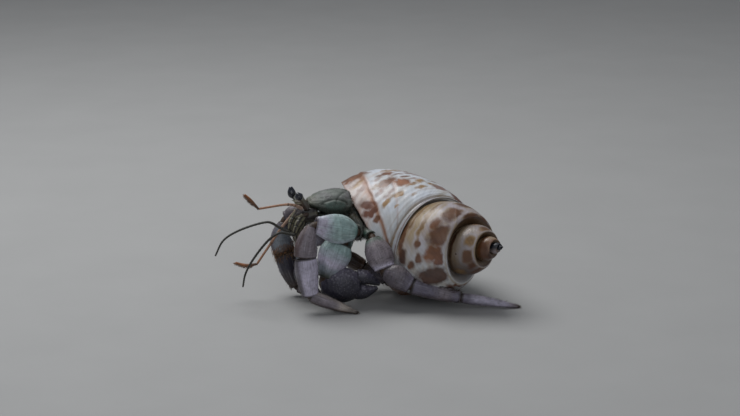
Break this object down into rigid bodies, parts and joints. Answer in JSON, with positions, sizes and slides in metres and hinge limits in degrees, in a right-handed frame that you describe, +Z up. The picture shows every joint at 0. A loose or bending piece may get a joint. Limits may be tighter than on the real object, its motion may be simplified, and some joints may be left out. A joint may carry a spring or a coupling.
{
  "type": "hermit crab",
  "caption": "Land hermit crab walking with its head out, carrying a spired, blotched sea-snail shell that rests on the ground behind it.",
  "frame": {"origin": "on the ground, at the middle of the bottom of the animal's bounding box", "axes": "+X from the head towards the shell's tip, +Z up, -Y is the animal's left side"},
  "size_m": [0.0763, 0.0384, 0.0304],
  "materials": {
    "shell": "glossy white shell with orange-brown blotches",
    "leg": "lavender to turquoise horny skin with a soft sheen",
    "claw": "dark purple-blue horny skin with light grains",
    "shield": "grey-green horny shield",
    "trunk": "dark green-brown horny skin",
    "soft_body": "soft brown-pink skin",
    "cornea": "black glossy",
    "stalk": "pale grey horny skin",
    "antennule": "orange-brown",
    "feeler": "dark olive-grey"
  },
  "bodies": {
    "root": {"shell": "shell", "leg2_left_dactyl": "leg", "leg2_left_propodus": "leg", "leg2_left_carpus": "leg", "leg2_left_merus": "leg", "leg2_left_ischium": "leg", "leg3_left_dactyl": "leg", "leg3_left_propodus": "leg", "leg3_left_carpus": "leg", "leg3_left_merus": "leg", "leg3_left_ischium": "leg", "leg2_right_dactyl": "leg", "leg2_right_propodus": "leg", "leg2_right_carpus": "leg", "leg2_right_merus": "leg", "leg2_right_ischium": "leg", "leg3_right_dactyl": "leg", "leg3_right_propodus": "leg", "leg3_right_carpus": "leg", "leg3_right_merus": "leg", "leg3_right_ischium": "leg", "claw_left_dactyl": "claw", "claw_left_palm": "claw", "claw_left_carpus": "claw", "claw_left_merus": "claw", "claw_right_dactyl": "claw", "claw_right_palm": "claw", "claw_right_carpus": "claw", "claw_right_merus": "claw", "eye_left": "cornea", "eyestalk_left": "stalk", "eye_right": "cornea", "eyestalk_right": "stalk", "antennule_left": "antennule", "antennule_left_tip": "antennule", "antennule_right": "antennule", "antennule_right_tip": "antennule", "antenna_left_base": "feeler", "antenna_left_inner": "feeler", "antenna_left_outer": "feeler", "antenna_right_base": "feeler", "antenna_right_inner": "feeler", "antenna_right_outer": "feeler", "maxilliped_left": "trunk", "maxilliped_right": "trunk", "leg4_left": "trunk", "leg4_right": "trunk", "carapace_shield": "shield", "head": "trunk", "thorax": "trunk", "abdomen": "soft_body"}
  },
  "joints": []
}
